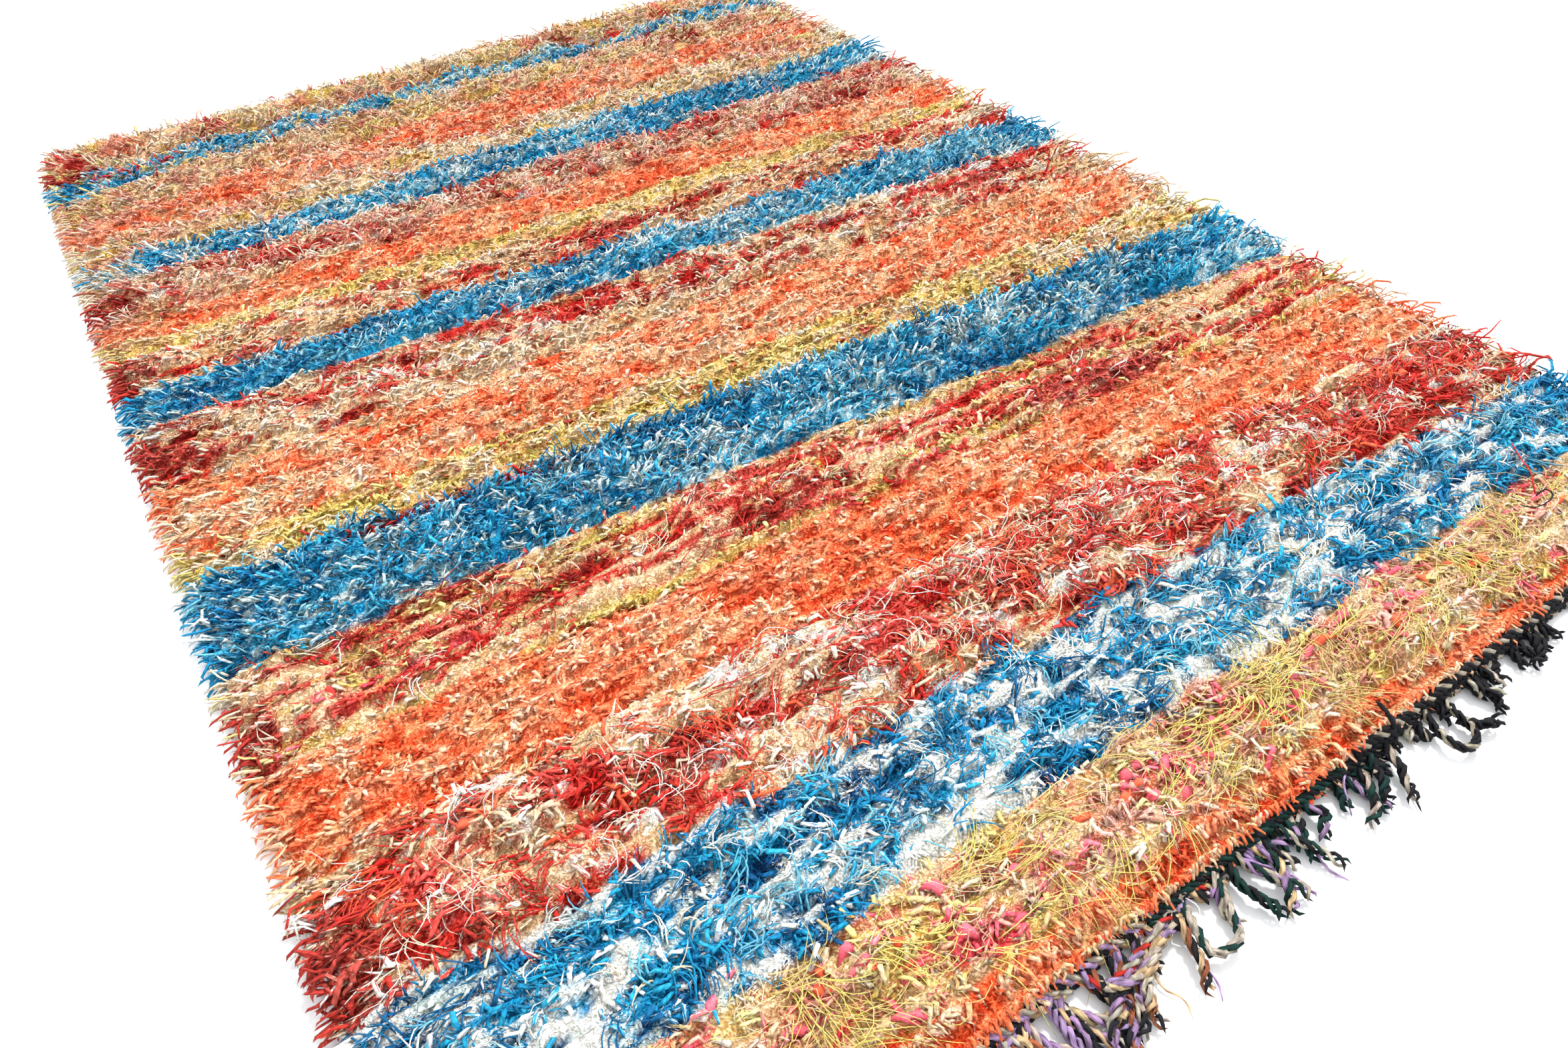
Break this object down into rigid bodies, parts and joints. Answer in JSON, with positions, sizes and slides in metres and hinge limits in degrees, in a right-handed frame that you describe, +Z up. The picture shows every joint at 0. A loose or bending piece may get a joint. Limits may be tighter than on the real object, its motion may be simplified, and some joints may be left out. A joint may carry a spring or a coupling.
{
  "type": "striped shag rug with fringe",
  "caption": "Flat rectangular shag rug with a thick, lumpy cut pile in cross stripes and a twisted warp fringe along one short end.",
  "frame": {"origin": "under the middle of the whole rug, fringe included, at floor level", "axes": "+Z up; +Y along the rug's length, from the fringed end towards the plain end; +X across the rug, along its stripes"},
  "size_m": [1.8094, 2.6076, 0.0542],
  "materials": {
    "pile_yarn": "matt cut yarn",
    "warp_yarn": "matt twisted yarn"
  },
  "bodies": {
    "root": {"shag_pile": "pile_yarn", "warp_fringe": "warp_yarn"}
  },
  "joints": []
}
